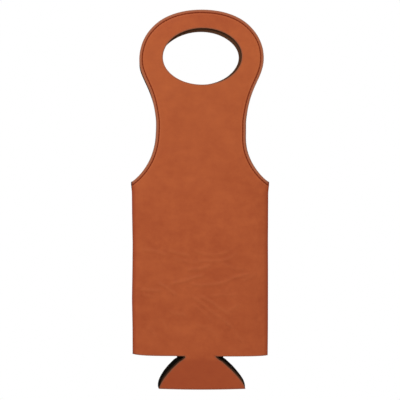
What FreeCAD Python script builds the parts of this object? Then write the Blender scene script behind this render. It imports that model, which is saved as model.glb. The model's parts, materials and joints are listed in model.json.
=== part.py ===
"""Flat-folding bottle carrier cut from leatherette bonded to foam.

Front and back are one outline each: a handle loop, a panel and two side strips that are sewn to the
other face. A folding base joins them below. Each stiff zone between two bends has a skin and a lining.

The origin is the middle of the upper rim of the handle hole, where a hand or hook carries the load.
X points to the right as seen from the front, Y to the back and Z up. Lengths are in millimetres.
"""

import FreeCAD, Part
import math
import os

# Laminate
SKIN = 0.9  # leatherette
LINING = 2.5  # foam
LAY_GAP = 0.6  # between the two linings while the carrier lies flat
BEND_GAP = 0.4  # between two zones that bend against each other
SLIT = 0.3  # between the base and the edges beside it

# Handle loop
HANDLE_WIDTH = 125.0
HANDLE_RISE = 48.3  # from the widest level up to the top edge
HOLE_WIDTH = 79.4
HOLE_HEIGHT = 56.4
HOLE_LIFT = 1.6  # centre of the hole above the widest level
TOP_FULLNESS = 0.62
SIDE_FULLNESS = 0.58

# Waist between handle and body
WAIST_WIDTH = 90.1
WAIST_FALL = 73.0  # from the widest level down to the waist
WAIST_RUN = 5.0  # straight part of the waist
BROW_FULLNESS = 0.30
WAIST_FULLNESS = 0.62

# Body
BODY_WIDTH = 136.0
FLARE_FALL = 45.0  # from the waist down to the shoulder tips
SIDE_LENGTH = 174.2  # length of the sewn sides
STRIP_WIDTH = 38.2  # side strip at the base hinge
APEX_RISE = 7.5  # the side bends aim at a level this far above the handle

# Folding base
BASE_WIDTH = 88.8
BASE_LENGTH = 75.0  # from neck to neck when spread
NECK_WIDTH = 31.0
NECK_SPLAY = 14.0  # how far the flanks leave the neck at 45 degrees
TIP_FULLNESS = 0.27
CREASE_SHIFT = 4.0  # the crease lies this far in front of the middle

# Thread
STITCH_INSET = 2.6
STITCH_WIDTH = 1.0
STITCH_DEPTH = 0.4
SEAM_RADIUS = 0.5
TACK_RADIUS = 1.1
TACK_LENGTH = 4.5
THREAD_CLEARANCE = 0.3

FRONT = -1
BACK = 1
SIDES = {"left": -1, "right": 1}
FAR = 1000.0

laminate = SKIN + LINING
inner = LAY_GAP / 2
bond = inner + LINING
outer = inner + laminate
half_body = BODY_WIDTH / 2

z_hole = -HOLE_HEIGHT / 2
z_wide = z_hole - HOLE_LIFT
z_top = z_wide + HANDLE_RISE
z_waist = z_wide - WAIST_FALL
z_flare = z_waist - WAIST_RUN
z_bend = (z_waist + z_flare) / 2
z_shoulder = z_flare - FLARE_FALL
z_bottom = z_shoulder - SIDE_LENGTH
z_hinge = z_bottom + laminate + SLIT
z_apex = z_top + APEX_RISE
z_crease = z_bottom - SLIT - BASE_LENGTH / 2 + CREASE_SHIFT


def point(x, z):
    """Point of the flat outline, which lies in the plane y = 0."""
    return FreeCAD.Vector(x, 0, z)


def bezier(*poles):
    """Edge of a Bezier curve through flat points (x, z)."""
    curve = Part.BezierCurve()
    curve.setPoles([point(*pole) for pole in poles])
    return curve.toShape()


def line(start, end):
    """Straight edge between two flat points (x, z)."""
    return Part.makeLine(point(*start), point(*end))


def face_of(edges):
    """Face inside a closed run of edges."""
    return Part.Face(Part.Wire(edges))


def polygon(*corners):
    """Face with straight sides through flat points (x, z)."""
    return Part.Face(Part.makePolygon([point(*corner) for corner in corners + corners[:1]]))


def handle_edges(side, inset):
    """One half of the outline, from the top middle down to the side seam."""
    wide = HANDLE_WIDTH / 2 - inset
    waist = WAIST_WIDTH / 2 - inset
    top = z_top - inset
    lead = half_body - WAIST_WIDTH / 2
    flare = (lead**2 + FLARE_FALL**2) / (2 * lead)
    centre = WAIST_WIDTH / 2 + flare
    radius = flare + inset
    reach = math.acos((centre - half_body) / radius)
    middle = reach / 2
    brow = [
        (0, top),
        (side * TOP_FULLNESS * wide, top),
        (side * wide, z_wide + SIDE_FULLNESS * (top - z_wide)),
        (side * wide, z_wide),
    ]
    cheek = [
        (side * wide, z_wide),
        (side * wide, z_wide - BROW_FULLNESS * WAIST_FALL),
        (side * waist, z_waist + WAIST_FULLNESS * WAIST_FALL),
        (side * waist, z_waist),
    ]
    shoulder = Part.Arc(
        point(side * waist, z_flare),
        point(side * (centre - radius * math.cos(middle)), z_flare - radius * math.sin(middle)),
        point(side * half_body, z_flare - radius * math.sin(reach)),
    )
    tip = z_flare - radius * math.sin(reach)
    return [
        bezier(*brow),
        bezier(*cheek),
        line((side * waist, z_waist), (side * waist, z_flare)),
        shoulder.toShape(),
        line((side * half_body, tip), (side * half_body, z_bottom)),
    ]


def outline(inset=0.0):
    """Whole flat outline of one face, with its upper edges drawn in by the inset."""
    right = handle_edges(1, inset)
    left = handle_edges(-1, inset)
    return face_of(right + [line((half_body, z_bottom), (-half_body, z_bottom))] + left[::-1])


def handle_hole():
    """Oval hole for the hand."""
    a = HOLE_WIDTH / 2
    b = HOLE_HEIGHT / 2
    pull = 4 * (math.sqrt(2) - 1) / 3
    quarters = []
    for sx, sz in ((1, 1), (-1, 1), (-1, -1), (1, -1)):
        quarter = [
            (sx * a, z_hole),
            (sx * a, z_hole + sz * pull * b),
            (sx * pull * a, z_hole + sz * b),
            (0, z_hole + sz * b),
        ]
        quarters.append(bezier(*(quarter if sx * sz > 0 else quarter[::-1])))
    return face_of(quarters)


def bend_x(z):
    """Distance of the side bend from the middle at a height."""
    climb = (z - z_hinge) / (z_apex - z_hinge)
    return half_body - STRIP_WIDTH + STRIP_WIDTH * climb


def handle_zone():
    """Region above the handle bend."""
    low = z_bend + BEND_GAP / 2
    return polygon((-FAR, low), (FAR, low), (FAR, FAR), (-FAR, FAR))


def panel_zone():
    """Region between the side bends, less the notch of the base neck."""
    low = z_bottom - 1
    high = z_bend - BEND_GAP / 2
    below = bend_x(low) - BEND_GAP / 2
    above = bend_x(high) - BEND_GAP / 2
    strip = polygon((-below, low), (below, low), (above, high), (-above, high))
    notch = NECK_WIDTH / 2 + SLIT
    roof = z_hinge + BEND_GAP / 2
    return strip.cut(polygon((-notch, low), (notch, low), (notch, roof), (-notch, roof)))


def strip_zone(side):
    """Region outside one side bend."""
    low = z_bottom - 1
    high = z_bend - BEND_GAP / 2
    below = side * (bend_x(low) + BEND_GAP / 2)
    above = side * (bend_x(high) + BEND_GAP / 2)
    return polygon((below, low), (side * FAR, low), (side * FAR, high), (above, high))


def base_regions(face):
    """Base from the crease up to the hinge on one face: the two ends of its oval and the neck above them."""
    a = BASE_WIDTH / 2
    b = BASE_LENGTH / 2
    neck = NECK_WIDTH / 2
    z_mid = z_crease + face * CREASE_SHIFT
    top = z_bottom - SLIT
    foot = z_crease + BEND_GAP / 2
    half = polygon((-FAR, foot), (FAR, foot), (FAR, top), (-FAR, top))
    regions = []
    for way in (1, -1):
        flanks = {}
        for side in (1, -1):
            flanks[side] = bezier(
                (side * a, z_mid),
                (side * a, z_mid + way * TIP_FULLNESS * b),
                (side * (neck + NECK_SPLAY), z_mid + way * (b - NECK_SPLAY)),
                (side * neck, z_mid + way * b),
            )
        end = line((neck, z_mid + way * b), (-neck, z_mid + way * b))
        oval = face_of([flanks[1], end, flanks[-1], line((-a, z_mid), (a, z_mid))])
        regions += oval.common(half).Faces
    low = top - NECK_SPLAY / 2
    roof = z_hinge - BEND_GAP / 2
    regions.append(polygon((-neck, low), (neck, low), (neck, roof), (-neck, roof)))
    return regions


def slab(flat, face, near, far):
    """Flat region given thickness on one face, from one distance off the middle plane to another."""
    low = min(face * near, face * far)
    moved = flat.copy()
    moved.translate(FreeCAD.Vector(0, low, 0))
    return moved.extrude(FreeCAD.Vector(0, far - near, 0))


def rod(x, radius, low, high):
    """Upright round bar in the middle plane."""
    return Part.makeCylinder(radius, high - low, point(x, low))


def save(name, shape):
    """Write one piece, as a plain solid where it is one."""
    clean = shape.removeSplitter()
    piece = clean.Solids[0] if len(clean.Solids) == 1 else Part.makeCompound(clean.Solids)
    piece.exportStep("parts/" + name + ".step")


def seam_room(side):
    """Space that the side seam and its tack need in the edges of the strips."""
    x = side * half_body
    z_tack = z_shoulder - TACK_LENGTH
    seam = rod(x, SEAM_RADIUS + THREAD_CLEARANCE, z_bottom - 1, z_shoulder + 1)
    tack = rod(x, TACK_RADIUS + THREAD_CLEARANCE, z_tack - THREAD_CLEARANCE, z_shoulder + 1)
    return seam.fuse(tack)


def build_face(name, face):
    """Handle, panel and side strips of the front or the back."""
    sheet = outline().cut(handle_hole())
    groove = outline(STITCH_INSET).cut(outline(STITCH_INSET + STITCH_WIDTH))
    zones = {"handle": handle_zone(), "panel": panel_zone()}
    for side_name, side in SIDES.items():
        zones[side_name + "_side"] = strip_zone(side)
    for zone_name, zone in zones.items():
        region = sheet.common(zone)
        thread = slab(groove.common(zone), face, outer - STITCH_DEPTH, outer)
        skin = slab(region, face, bond, outer).cut(thread)
        lining = slab(region, face, inner, bond)
        for side_name, side in SIDES.items():
            if zone_name == side_name + "_side":
                skin = skin.cut(seam_room(side))
                lining = lining.cut(seam_room(side))
                thread = thread.cut(seam_room(side))
        save(name + "_" + zone_name + "_skin", skin)
        save(name + "_" + zone_name + "_lining", lining)
        save(name + "_" + zone_name + "_topstitch", thread)


def build_base(name, face):
    """Base half that hangs from the front or the back."""
    for layer, near, far in (("skin", bond, outer), ("lining", inner, bond)):
        pieces = [slab(region, face, near, far) for region in base_regions(face)]
        save("base_" + name + "_" + layer, pieces[0].multiFuse(pieces[1:]))


def build_seams():
    """Thread of the side seams and the tacks that lock their upper ends."""
    z_tack = z_shoulder - TACK_LENGTH
    for side_name, side in SIDES.items():
        x = side * half_body
        save(side_name + "_side_seam", rod(x, SEAM_RADIUS, z_bottom, z_tack - THREAD_CLEARANCE))
        save(side_name + "_shoulder_tack", rod(x, TACK_RADIUS, z_tack, z_shoulder))


os.makedirs("parts", exist_ok=True)
for face_name, face_side in (("front", FRONT), ("back", BACK)):
    build_face(face_name, face_side)
    build_base(face_name, face_side)
build_seams()
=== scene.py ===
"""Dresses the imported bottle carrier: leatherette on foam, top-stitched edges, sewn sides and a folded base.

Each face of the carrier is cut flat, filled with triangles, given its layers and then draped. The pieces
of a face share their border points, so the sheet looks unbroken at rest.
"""

import json
import logging
import math
from collections.abc import Callable, Sequence
from dataclasses import asdict, dataclass, fields
from enum import Enum

import bpy
import numpy as np
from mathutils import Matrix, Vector, noise
from mathutils.geometry import delaunay_2d_cdt


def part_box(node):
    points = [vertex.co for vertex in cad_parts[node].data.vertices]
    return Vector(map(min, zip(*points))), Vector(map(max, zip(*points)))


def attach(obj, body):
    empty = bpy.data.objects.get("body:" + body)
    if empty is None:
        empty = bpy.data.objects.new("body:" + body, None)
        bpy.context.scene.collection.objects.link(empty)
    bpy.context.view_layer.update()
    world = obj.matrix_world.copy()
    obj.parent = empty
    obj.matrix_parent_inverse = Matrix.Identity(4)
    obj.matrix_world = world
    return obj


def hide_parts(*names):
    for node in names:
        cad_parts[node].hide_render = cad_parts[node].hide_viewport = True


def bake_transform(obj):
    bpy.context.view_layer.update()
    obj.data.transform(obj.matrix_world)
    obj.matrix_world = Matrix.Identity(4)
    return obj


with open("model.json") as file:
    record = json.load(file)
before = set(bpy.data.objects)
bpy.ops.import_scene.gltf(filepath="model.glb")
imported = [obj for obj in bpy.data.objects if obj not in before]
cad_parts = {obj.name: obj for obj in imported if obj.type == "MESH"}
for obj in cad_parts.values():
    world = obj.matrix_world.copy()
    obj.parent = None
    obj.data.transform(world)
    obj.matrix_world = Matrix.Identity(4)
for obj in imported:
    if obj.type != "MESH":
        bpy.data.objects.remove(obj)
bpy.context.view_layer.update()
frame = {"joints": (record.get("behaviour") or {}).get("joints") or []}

MM = 0.001
STITCH_INSET = 3.05  # millimetres from the free edges to their top-stitching
FAR = 1.0  # distance from an edge that a cut doesn't have
MERGE = 1e-4  # points closer than this, in millimetres, are one point of a cut
SLIVER = 1e-12  # twice the area of the smallest triangle of a cut
TINY = 1e-18  # keeps a segment without length from dividing by zero
MIRROR = np.array((-1, 1))
UV_NAME = "cloth"

Pair = tuple[float, float]
Triple = tuple[float, float, float]
Colour = tuple[float, float, float, float]
Levels = tuple[Pair, ...]
Socket = bpy.types.NodeSocket
Value = Socket | float | Triple | Colour
Inputs = dict[str | int, Value]
Owner = bpy.types.Material | bpy.types.World

WHITE: Colour = (1.0, 1.0, 1.0, 1.0)

log = logging.getLogger("carrier")


class Sided(Enum):
    """A named side of the carrier, with its sign along an axis."""

    @property
    def label(self) -> str:
        """Name of the side in the CAD nodes."""
        return self.name.lower()


class Face(Sided):
    """The two faces, with the sign of their outward direction along Y."""

    FRONT = -1
    BACK = 1

    def pick(self, pair: Pair) -> float:
        """Value for this face, from a pair for the front and the back."""
        return pair[self is Face.BACK]


class Side(Sided):
    """The two sides as seen from the front, with their sign along X."""

    LEFT = -1
    RIGHT = 1


class Layer(Enum):
    """The two layers of the laminate."""

    SKIN = "skin"
    LINING = "lining"


class Zone(Enum):
    """The zones of a face, each of which moves as a body of its own."""

    HANDLE = "handle"
    PANEL = "panel"
    LEFT_SIDE = "left_side"
    RIGHT_SIDE = "right_side"


class Mark(Enum):
    """What the points of a sheet tell its finish. Distances and heights are in millimetres."""

    SEWN = "sewn_mm"
    RAW = "raw_mm"
    SIDE = "side_mm"
    CREST = "crest_mm"
    # on the leatherette: painted shade on the base; on the foam: its browner colour beside the cuts
    TONE = "tone"


def joint_named(name: str) -> dict:
    """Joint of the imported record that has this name."""
    return next(joint for joint in frame["joints"] if joint["name"] == name)


def bezier(poles: Sequence[Pair], count: int) -> np.ndarray:
    """Sample a cubic Bezier curve.

    Args:
        poles: Its four poles (x, z).
        count: How many points to take, both ends included.

    Returns:
        The points, one per row.
    """
    t = np.linspace(0, 1, count)[:, None]
    a, b, c, d = (np.array(pole) for pole in poles)
    return (1 - t) ** 3 * a + 3 * t * (1 - t) ** 2 * b + 3 * t**2 * (1 - t) * c + t**3 * d


def run(start: Pair, end: Pair, step: float) -> np.ndarray:
    """Points along a straight line, at most one step apart."""
    count = math.ceil(math.dist(start, end) / step) + 1
    return np.linspace(start, end, max(2, count))


def closed(loop: np.ndarray) -> np.ndarray:
    """A loop with its first point repeated at its end."""
    return np.vstack([loop, loop[:1]])


def both(line: np.ndarray) -> list[np.ndarray]:
    """A flat line on the right and its mirror image on the left."""
    return [line, line * MIRROR]


def stand(plan: np.ndarray, depth: np.ndarray) -> np.ndarray:
    """Points (x, y, z) from a plan (x, z) and the depth of each point."""
    return np.stack([plan[:, 0], depth, plan[:, 1]], axis=1)


def distance_to(points: np.ndarray, line: np.ndarray) -> np.ndarray:
    """Shortest distance of flat points from a line of straight segments.

    Args:
        points: Points (x, z), one per row.
        line: Corners of the line, one per row.

    Returns:
        One distance per point.
    """
    best = np.full(len(points), np.inf)
    for start, end in zip(line[:-1], line[1:]):
        along = end - start
        share = np.clip((points - start) @ along / max(along @ along, TINY), 0, 1)
        gap = np.linalg.norm(points - start - share[:, None] * along, axis=1)
        best = np.minimum(best, gap)
    return best


def nearest(points: np.ndarray, lines: Sequence[np.ndarray]) -> np.ndarray:
    """Distance of each flat point from the nearest of several lines."""
    return np.min([distance_to(points, line) for line in lines], axis=0)


def inside(points: np.ndarray, loop: np.ndarray) -> np.ndarray:
    """Test which flat points lie within a closed loop.

    Args:
        points: Points (x, z), one per row.
        loop: Corners of the loop, one per row, the last one not repeated.

    Returns:
        One truth value per point.
    """
    odd = np.zeros(len(points), bool)
    x, z = points.T
    for (ax, az), (bx, bz) in zip(loop, np.roll(loop, -1, axis=0)):
        spans = (az > z) != (bz > z)
        if spans.any():
            crossing = ax + (z[spans] - az) * (bx - ax) / (bz - az)
            odd[spans] ^= x[spans] < crossing
    return odd


def smooth(value: np.ndarray, low: float, high: float) -> np.ndarray:
    """Ease from 0 at the low value to 1 at the high one."""
    t = np.clip((value - low) / (high - low), 0, 1)
    return t * t * (3 - 2 * t)


def band(value: np.ndarray, rise: Pair, fall: Pair) -> np.ndarray:
    """Ease from 0 to 1 over one span of values and back to 0 over another."""
    return smooth(value, *rise) * (1 - smooth(value, *fall))


def rounding(distance: np.ndarray, reach: float, drop: float) -> np.ndarray:
    """How far an edge that is rounded over a reach falls away, with its full drop at the very edge."""
    t = 1 - np.clip(distance / reach, 0, 1)
    return drop * (1 - np.sqrt(1 - t * t))


def at_level(level: np.ndarray, rows: Levels) -> np.ndarray:
    """Lengths at given heights, read from rising rows of a height and a length in millimetres."""
    heights, lengths = np.array(rows).T * MM
    return np.interp(level, heights, lengths)


def doubled_areas(points: np.ndarray, triangles: np.ndarray) -> np.ndarray:
    """Twice the area of each flat triangle, negative where its corners turn the other way.

    Args:
        points: Points (x, z), one per row.
        triangles: Three point numbers per row.

    Returns:
        One number per triangle.
    """
    a, b, c = (points[triangles[:, corner]] for corner in range(3))
    ab, ac = b - a, c - a
    return ab[:, 0] * ac[:, 1] - ab[:, 1] * ac[:, 0]


@dataclass(frozen=True)
class Pattern:
    """Flat cut of the carrier. Lengths are in metres, and levels are heights in the shared frame."""

    handle_half: float
    top: float
    bend: float
    body_half: float
    bottom: float
    hinge: float
    crease: float
    fold_foot: float
    fold_slope: float
    hole_half_width: float = 39.7 * MM
    hole_half_height: float = 28.2 * MM
    widest: float = -29.8 * MM
    waist_half: float = 45.05 * MM
    waist: float = -102.8 * MM
    flare: float = -107.8 * MM
    flare_fall: float = 45.0 * MM
    top_fullness: float = 0.62
    side_fullness: float = 0.58
    brow_fullness: float = 0.30
    waist_fullness: float = 0.62
    base_half: float = 44.4 * MM
    base_depth: float = 37.5 * MM
    neck_half: float = 15.5 * MM
    neck_splay: float = 14.0 * MM
    tip_fullness: float = 0.27
    crease_shift: float = 4.0 * MM
    handle_reach: float = 6.0 * MM
    fold_reach: float = 7.6 * MM
    neck_reach: float = 3.4 * MM
    step: float = 2.1 * MM
    handle_points: int = 42
    shoulder_points: int = 30
    oval_points: int = 120

    @classmethod
    def from_frame(cls) -> "Pattern":
        """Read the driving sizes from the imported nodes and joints.

        Returns:
            The pattern.
        """
        handle_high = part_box("front_handle_skin")[1]
        side_low, side_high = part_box("front_right_side_skin")
        fold = joint_named("front_right_fold")
        return cls(
            handle_half=handle_high.x,
            top=handle_high.z,
            bend=joint_named("front_handle_bend")["pos_m"][2],
            body_half=side_high.x,
            bottom=side_low.z,
            hinge=joint_named("front_base_hinge")["pos_m"][2],
            crease=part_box("base_front_skin")[0].z,
            fold_foot=fold["pos_m"][0],
            fold_slope=fold["axis"][0] / fold["axis"][2],
        )

    @property
    def handle_cut(self) -> float:
        """Level where the handle piece meets the panel and the sides."""
        return self.bend - self.handle_reach

    @property
    def neck_cut(self) -> float:
        """Level where the base piece meets the panel."""
        return self.hinge + self.neck_reach

    @property
    def tip(self) -> float:
        """Height of the shoulder tips, where the sewn sides end."""
        return self.flare - self.flare_fall

    @property
    def hole_level(self) -> float:
        """Height of the middle of the hand hole."""
        return -self.hole_half_height

    @property
    def slit(self) -> np.ndarray:
        """Right edge of the neck, from the hem up."""
        return run((self.neck_half, self.bottom), (self.neck_half, self.neck_cut), self.step / 2)

    @property
    def lintel(self) -> np.ndarray:
        """Line where the neck meets the panel, from right to left."""
        return run((self.neck_half, self.neck_cut), (-self.neck_half, self.neck_cut), self.step)

    def sewn_side(self, side: Side, top: float) -> np.ndarray:
        """Edge of one sewn side, from a height down to the hem."""
        x = side.value * self.body_half
        return run((x, top), (x, self.bottom), self.step)

    def fold_x(self, level: np.ndarray | float, away: float) -> np.ndarray | float:
        """Distance from the middle, at a height, of a line that runs this far outside the side fold."""
        return self.fold_foot + self.fold_slope * (level - self.hinge) + away

    def free_edge(self, inset: float) -> np.ndarray:
        """The top-stitched edge from the left shoulder tip over the handle to the right one.

        Args:
            inset: Distance inside the cut.

        Returns:
            Points (x, z), placed alike for every inset.
        """
        wide = self.handle_half - inset
        waist = self.waist_half - inset
        top = self.top - inset
        fall = self.widest - self.waist
        lead = self.body_half - self.waist_half
        flare = (lead**2 + self.flare_fall**2) / (2 * lead)
        centre = self.waist_half + flare
        radius = flare + inset
        reach = math.acos((centre - self.body_half) / radius)
        brow = [
            (0, top),
            (self.top_fullness * wide, top),
            (wide, self.widest + self.side_fullness * (top - self.widest)),
            (wide, self.widest),
        ]
        cheek = [
            (wide, self.widest),
            (wide, self.widest - self.brow_fullness * fall),
            (waist, self.waist + self.waist_fullness * fall),
            (waist, self.waist),
        ]
        turn = np.linspace(0, reach, self.shoulder_points)
        half = [
            bezier(brow, self.handle_points),
            bezier(cheek, self.handle_points)[1:],
            run((waist, self.waist), (waist, self.flare), self.step)[1:],
            np.stack([centre - radius * np.cos(turn), self.flare - radius * np.sin(turn)], axis=1)[1:],
        ]
        right, left = both(np.concatenate(half))
        return np.concatenate([left[::-1], right[1:]])

    def hole(self, offset: float) -> np.ndarray:
        """Closed rim of the hand hole.

        Args:
            offset: Distance outside the rim.

        Returns:
            Points (x, z), the last one not repeated.
        """
        turn = np.linspace(0, 2 * math.pi, self.oval_points, endpoint=False)
        a, b = self.hole_half_width, self.hole_half_height
        rim = np.stack([a * np.cos(turn), b * np.sin(turn)], axis=1)
        normal = np.stack([np.cos(turn) / a, np.sin(turn) / b], axis=1)
        normal /= np.linalg.norm(normal, axis=1)[:, None]
        return rim + offset * normal + (0, self.hole_level)

    def flank(self, face: Face) -> np.ndarray:
        """Right edge of one half of the base, from the crease up to the body.

        Args:
            face: The face that the half hangs from.

        Returns:
            Points (x, z), from the crease upwards.
        """
        middle = self.crease + face.value * self.crease_shift
        curves = []
        for way in (-1, 1):
            poles = [
                (self.base_half, middle),
                (self.base_half, middle + way * self.tip_fullness * self.base_depth),
                (self.neck_half + self.neck_splay, middle + way * (self.base_depth - self.neck_splay)),
                (self.neck_half, middle + way * self.base_depth),
            ]
            curves.append(bezier(poles, self.oval_points))
        whole = np.concatenate([curves[0][::-1], curves[1][1:]])
        levels = run((0, self.crease), (0, self.bottom), self.step / 2)[:, 1]
        reach = np.interp(levels, whole[:, 1], whole[:, 0])
        return np.stack([reach, levels], axis=1)


@dataclass(frozen=True)
class Wrinkle:
    """A soft ridge of the sheet: its height, and points (x, z) that lead its crest, in millimetres."""

    height: float
    crest: tuple[Pair, ...]
    corner_cut: float = 0.25
    rounds: int = 3
    step: float = 0.25 * MM

    def line(self) -> np.ndarray:
        """Rounded line of the crest.

        Returns:
            Points (x, z) in metres, one step apart.
        """
        line = np.array(self.crest) * MM
        for _ in range(self.rounds):
            start, end = line[:-1], line[1:]
            eased = [(1 - cut) * start + cut * end for cut in (self.corner_cut, 1 - self.corner_cut)]
            line = np.concatenate([line[:1], np.stack(eased, axis=1).reshape(-1, 2), line[-1:]])
        along = np.concatenate([[0], np.cumsum(np.linalg.norm(np.diff(line, axis=0), axis=1))])
        even = np.arange(0, along[-1], self.step)
        return np.stack([np.interp(even, along, line[:, axis]) for axis in range(2)], axis=1)

    def rise(self, flat: np.ndarray, width: float, taper: float) -> np.ndarray:
        """How far the ridge lifts the sheet.

        Args:
            flat: Points of the flat cut (x, z).
            width: Distance from the crest at which the ridge has mostly gone.
            taper: Length over which each end of it fades.

        Returns:
            One distance per point.
        """
        line = self.line()
        reach = 3 * width  # past this nothing of the ridge is left
        near = np.all((flat > line.min(axis=0) - reach) & (flat < line.max(axis=0) + reach), axis=1)
        gap = np.linalg.norm(flat[near][:, None] - line[None], axis=2)
        closest = gap.argmin(axis=1)
        end = np.minimum(closest, len(line) - 1 - closest) * self.step
        raised = np.zeros(len(flat))
        raised[near] = np.exp(-((gap.min(axis=1) / width) ** 2)) * smooth(end, 0, taper)
        return self.height * MM * raised


@dataclass(frozen=True)
class Settle:
    """How a sheet gives sideways: at each height it leans as a whole and relaxes away from its middle."""

    lean: Levels
    relax: Levels

    def across(self, level: np.ndarray, part: np.ndarray) -> np.ndarray:
        """Sideways movement at given heights and parts of the half width."""
        return at_level(level, self.lean) + at_level(level, self.relax) * part


@dataclass(frozen=True)
class Drape:
    """How the soft carrier departs from its flat cut: it settles, bows, swells and wrinkles a little.

    A rise, fall, turn or ring is a span over which something changes. The cheek and the waist of the back
    have one span to rise and one to fall. Other pairs are for left and right, or for front and back.
    """

    body: Settle = Settle(
        lean=(
            (-327, 0.2), (-300, 0.28), (-270, 0.05), (-237, 0.3), (-215, 0.33), (-185, 0.15), (-162, 0.1),
            (-122, 0.3), (-112, 0.66), (-102, 1.06), (-60, 1.4), (-40, 1.4), (-20, 1.75), (20, 1.75),
        ),
        relax=(
            (-327, -0.75), (-300, -0.57), (-270, -0.25), (-237, -0.5), (-215, -0.62), (-185, -0.25),
            (-164, -0.1), (-155, 0.7), (-145, 0.2), (-130, 0.0), (-112, -0.15), (-102, -0.5), (-92, -0.95),
            (-82, -0.15), (-70, 0.0), (-50, 0.0), (-25, -0.5), (0, -1.2), (12, -0.6),
        ),
    )
    front_base: Settle = Settle(
        lean=((-361, 2.3), (-353, 2.0), (-345, 1.5), (-337, 1.15), (-329, 0.9), (-327, 0.2)),
        relax=(
            (-361, -0.9), (-353, 0.3), (-340, 1.5), (-333, 0.0), (-331, -4.0), (-328.8, -7.0), (-327, -0.75),
        ),
    )
    back_base: Settle = Settle(
        lean=((-361, 1.7), (-355, 1.3), (-349, 0.9), (-343, 0.4), (-331, -0.1), (-327, 0.2)),
        relax=(
            (-358, -1.2), (-355, -2.0), (-349, -2.9), (-337, -3.5), (-331, -5.4), (-328.8, -9.0),
            (-327, -0.75),
        ),
    )
    bow: Pair = (1.8 * MM, 1.0 * MM)
    bow_power: int = 6
    bow_level: Pair = (0.15 * MM, 0.6 * MM)
    bow_turn: Pair = (-30.0 * MM, 30.0 * MM)
    bow_below: float = 2.0 * MM
    bow_above: float = 50.0 * MM
    foot_bow: float = 0.8 * MM
    foot_rest: float = 0.6
    foot_reach: float = 20.0 * MM
    tip_sag: float = 0.7 * MM
    tip_rise: Pair = (45.0 * MM, 66.0 * MM)
    tip_reach: float = 30.0 * MM
    hole_lean: float = 0.8 * MM
    hole_ring: Pair = (1.0, 1.35)
    back_across: float = -3.0 * MM
    back_down: float = -3.1 * MM
    back_rise: Pair = (-45.0 * MM, -4.0 * MM)
    back_tilt: float = 0.025
    back_lean: float = -0.9 * MM
    back_cheek: tuple[Pair, Pair] = ((-85.0 * MM, -55.0 * MM), (-45.0 * MM, -30.0 * MM))
    back_spread: float = 0.38 * MM
    back_waist: tuple[Pair, Pair] = ((-160.0 * MM, -140.0 * MM), (-95.0 * MM, -75.0 * MM))
    swell: float = 1.5 * MM
    swell_reach: float = 90.0 * MM
    swell_fall: Pair = (-170.0 * MM, -90.0 * MM)
    crown_share: float = 0.96
    crown_power: int = 4
    wave: float = 0.3 * MM
    wave_scale: float = 21.0
    wave_seed: Pair = (3.1, 11.7)
    wave_bias: float = 0.4
    wave_least: float = 0.35
    calm_reach: float = 12.0 * MM
    wrinkle_width: float = 1.55 * MM
    wrinkle_taper: float = 6.0 * MM
    back_share: float = 0.6
    back_raise: float = 17.0 * MM
    wrinkles: tuple[Wrinkle, ...] = (
        Wrinkle(0.52, ((-60, -221.5), (-50, -221.5), (-39, -224.5), (-30, -227.5))),
        Wrinkle(0.52, ((-36, -220.5), (-28, -223), (-19, -225.5), (-8, -227.5))),
        Wrinkle(0.40, ((-30, -228.5), (-20, -231.5), (-8, -233.5), (4, -234))),
        Wrinkle(0.42, ((-8, -219.5), (-1, -224.5), (8, -226), (20, -226), (32, -221.5))),
        Wrinkle(0.52, ((-4, -232.5), (8, -232), (20, -232.5), (28, -230.5), (38, -223.5))),
        Wrinkle(0.66, ((-16, -241), (-4, -240.5), (5, -239), (13, -234.5))),
        Wrinkle(0.46, ((20, -234.5), (27, -236.5), (36, -240.5), (46, -240.5))),
        Wrinkle(0.72, ((-32, -256.5), (-23, -253.3), (-14, -252), (-6, -248.5), (6, -246))),
        Wrinkle(
            0.72,
            ((-12, -254.5), (0, -256.3), (14, -255.5), (25, -253.7), (32, -249), (44, -246.5), (52, -244.5)),
        ),
        Wrinkle(0.54, ((40, -251.5), (47, -250), (58, -245))),
        Wrinkle(0.90, ((-44, -252.5), (-36, -257), (-29, -261.5), (-22, -268.5))),
        Wrinkle(0.69, ((-62, -260.9), (-50, -261.3), (-36, -262.5))),
        Wrinkle(0.39, ((-60, -265.5), (-50, -267), (-44, -269.5))),
        Wrinkle(0.80, ((-3, -266.5), (4, -269), (12, -273), (19, -279), (32, -286.5))),
        Wrinkle(0.62, ((-10, -266.5), (2, -274), (11, -282.5), (22, -290), (33, -298.5))),
        Wrinkle(0.50, ((-10, -275.5), (0, -280), (7, -286.5), (14, -293.5))),
        Wrinkle(0.46, ((22, -266.5), (26, -262.5), (31, -255.5))),
        Wrinkle(0.46, ((8, -266.5), (16, -266.8), (26, -265.5), (38, -267))),
        Wrinkle(0.46, ((24, -284.5), (33, -280), (42, -273.5))),
        Wrinkle(0.56, ((-34, -280.5), (-25, -284.5), (-12, -286.5))),
        Wrinkle(0.39, ((-40, -287.5), (-36, -293.5), (-32, -301.5))),
        Wrinkle(0.40, ((24, -289.5), (31, -297.5), (38, -306.5), (46, -315.5))),
        Wrinkle(0.42, ((-56, -296.5), (-48, -301.5), (-43, -309.5))),
        Wrinkle(0.42, ((-8, -294.5), (4, -297.5), (14, -302.5), (20, -310.5))),
    )

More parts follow.
